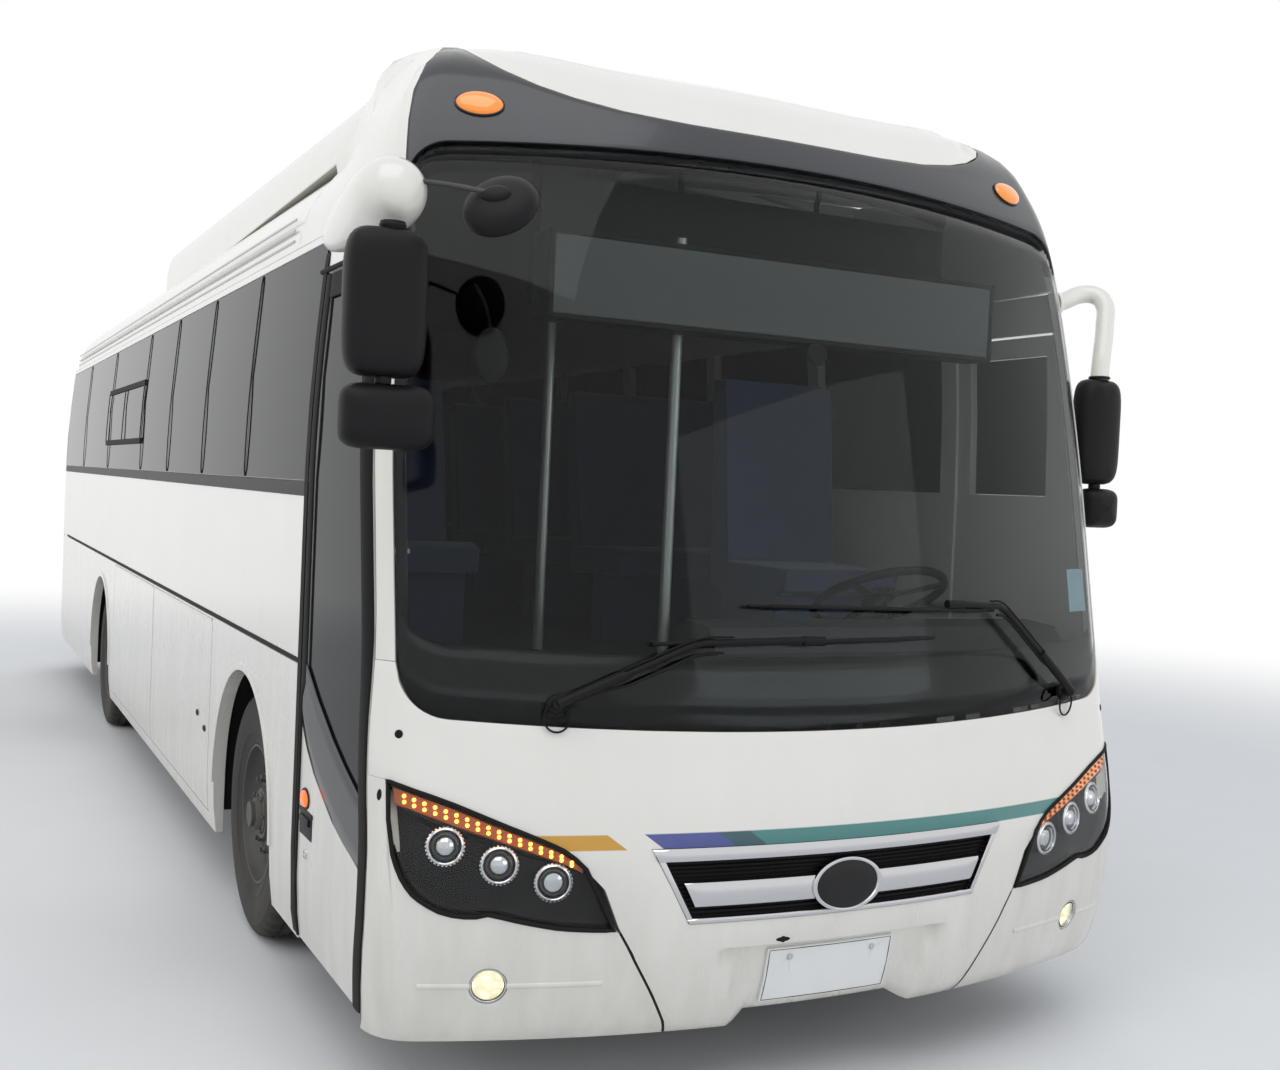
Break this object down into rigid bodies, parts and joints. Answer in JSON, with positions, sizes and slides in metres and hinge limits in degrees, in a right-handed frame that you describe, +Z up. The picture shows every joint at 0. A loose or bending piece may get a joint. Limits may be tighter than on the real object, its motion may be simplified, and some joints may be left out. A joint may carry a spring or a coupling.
{
  "type": "airport passenger bus",
  "caption": "Single-deck airport passenger bus with a swinging front entrance door, steered front wheels, twin rear wheels, luggage flaps and a rear engine lid.",
  "frame": {"origin": "on the ground under the middle of the whole bus, mirrors included", "axes": "+Z up, -Y towards the front of the bus, -X towards the entrance door"},
  "size_m": [2.83, 9.4957, 2.986],
  "materials": {
    "amber_lens": "gloss",
    "bay_metal": "satin",
    "body_white": "gloss ivory white",
    "bright_metal": "satin",
    "brow_grey": "gloss dark grey",
    "cast_metal": "rough",
    "chassis_black": "satin",
    "chrome_trim": "polished",
    "clear_glass": "clear",
    "dark_glass": "tinted",
    "floor_grey": "matt",
    "liner_black": "matt",
    "plate_white": "satin",
    "red_lens": "gloss",
    "rim_silver": "satin",
    "seat_cloth": "woven",
    "trim_dark": "satin black",
    "tyre_rubber": "matt"
  },
  "bodies": {
    "root": {"chassis_frame": "chassis_black", "floor": "floor_grey", "front_mask": "body_white", "bumper_corners": "body_white", "windscreen": "clear_glass", "a_pillars": "body_white", "brow": "brow_grey", "front_cap": "body_white", "cab_side": "body_white", "side_wall_right": "body_white", "side_wall_left": "body_white", "side_windows": "dark_glass", "roof": "body_white", "roof_pod": "body_white", "rear_panel": "body_white", "rear_cap": "body_white", "rear_window": "dark_glass", "rear_bumper": "body_white", "tail_lamps": "red_lens", "dashboard": "trim_dark", "steering_wheel": "trim_dark", "driver_seat": "seat_cloth", "seats_right": "seat_cloth", "seats_left": "seat_cloth", "sign_box": "trim_dark", "grab_rails": "bright_metal", "headlamps": "trim_dark", "lamp_units": "bright_metal", "grille": "chrome_trim", "number_plate": "plate_white", "wipers": "trim_dark", "mirror_right": "trim_dark", "mirror_left": "trim_dark", "marker_lamps": "amber_lens", "engine_block": "cast_metal", "front_axle": "chassis_black", "rear_axle": "chassis_black", "arch_liners": "liner_black", "entrance_steps": "floor_grey", "luggage_bay": "bay_metal"},
    "knuckle_left": {"knuckle_left": "cast_metal"},
    "knuckle_right": {"knuckle_right": "cast_metal"},
    "wheel_front_left": {"tyre_front_left": "tyre_rubber", "rim_front_left": "rim_silver"},
    "wheel_front_right": {"tyre_front_right": "tyre_rubber", "rim_front_right": "rim_silver"},
    "wheel_rear_left": {"tyres_rear_left": "tyre_rubber", "rims_rear_left": "rim_silver"},
    "wheel_rear_right": {"tyres_rear_right": "tyre_rubber", "rims_rear_right": "rim_silver"},
    "door": {"door_panel": "body_white", "door_glass": "dark_glass"},
    "door_arm": {"door_arm": "bright_metal"},
    "flap_right_front": {"flap_right_front": "body_white"},
    "flap_right_rear": {"flap_right_rear": "body_white"},
    "flap_left_front": {"flap_left_front": "body_white"},
    "flap_left_rear": {"flap_left_rear": "body_white"},
    "engine_lid": {"engine_lid": "body_white"}
  },
  "joints": [
    {"name": "steer_left", "type": "hinge", "parent": "root", "child": "knuckle_left", "pos_m": [0.9355, -2.775, 0.435], "axis": [0, 0, 1], "range_deg": [-36, 36]},
    {"name": "steer_right", "type": "hinge", "parent": "root", "child": "knuckle_right", "pos_m": [-0.9355, -2.775, 0.435], "axis": [0, 0, 1], "range_deg": [-36, 36]},
    {"name": "spin_front_left", "type": "hinge", "parent": "knuckle_left", "child": "wheel_front_left", "pos_m": [1.0695, -2.775, 0.435], "axis": [1, 0, 0], "continuous": true},
    {"name": "spin_front_right", "type": "hinge", "parent": "knuckle_right", "child": "wheel_front_right", "pos_m": [-1.0695, -2.775, 0.435], "axis": [1, 0, 0], "continuous": true},
    {"name": "spin_rear_left", "type": "hinge", "parent": "root", "child": "wheel_rear_left", "pos_m": [1.0695, 1.725, 0.435], "axis": [1, 0, 0], "continuous": true},
    {"name": "spin_rear_right", "type": "hinge", "parent": "root", "child": "wheel_rear_right", "pos_m": [-1.0695, 1.725, 0.435], "axis": [1, 0, 0], "continuous": true},
    {"name": "door_swing", "type": "hinge", "parent": "root", "child": "door_arm", "pos_m": [-1.15, -3.71, 1], "axis": [0, 0, -1], "range_deg": [0, 100]},
    {"name": "door_level", "type": "hinge", "parent": "door_arm", "child": "door", "pos_m": [-1.15, -4.27, 1], "axis": [0, 0, 1], "range_deg": [0, 100]},
    {"name": "flap_right_front_lift", "type": "hinge", "parent": "root", "child": "flap_right_front", "pos_m": [-1.245, -1.35, 1.067], "axis": [0, 1, 0], "range_deg": [0, 95]},
    {"name": "flap_right_rear_lift", "type": "hinge", "parent": "root", "child": "flap_right_rear", "pos_m": [-1.245, 0.25, 1.067], "axis": [0, 1, 0], "range_deg": [0, 95]},
    {"name": "flap_left_front_lift", "type": "hinge", "parent": "root", "child": "flap_left_front", "pos_m": [1.245, -1.35, 1.067], "axis": [0, -1, 0], "range_deg": [0, 95]},
    {"name": "flap_left_rear_lift", "type": "hinge", "parent": "root", "child": "flap_left_rear", "pos_m": [1.245, 0.25, 1.067], "axis": [0, -1, 0], "range_deg": [0, 95]},
    {"name": "engine_lid_lift", "type": "hinge", "parent": "root", "child": "engine_lid", "pos_m": [0, 4.742, 1.156], "axis": [1, 0, 0], "range_deg": [0, 80]}
  ],
  "couplings": [
    {"joint": "steer_right", "follows": "steer_left", "ratio": 1},
    {"joint": "door_level", "follows": "door_swing", "ratio": 1}
  ]
}
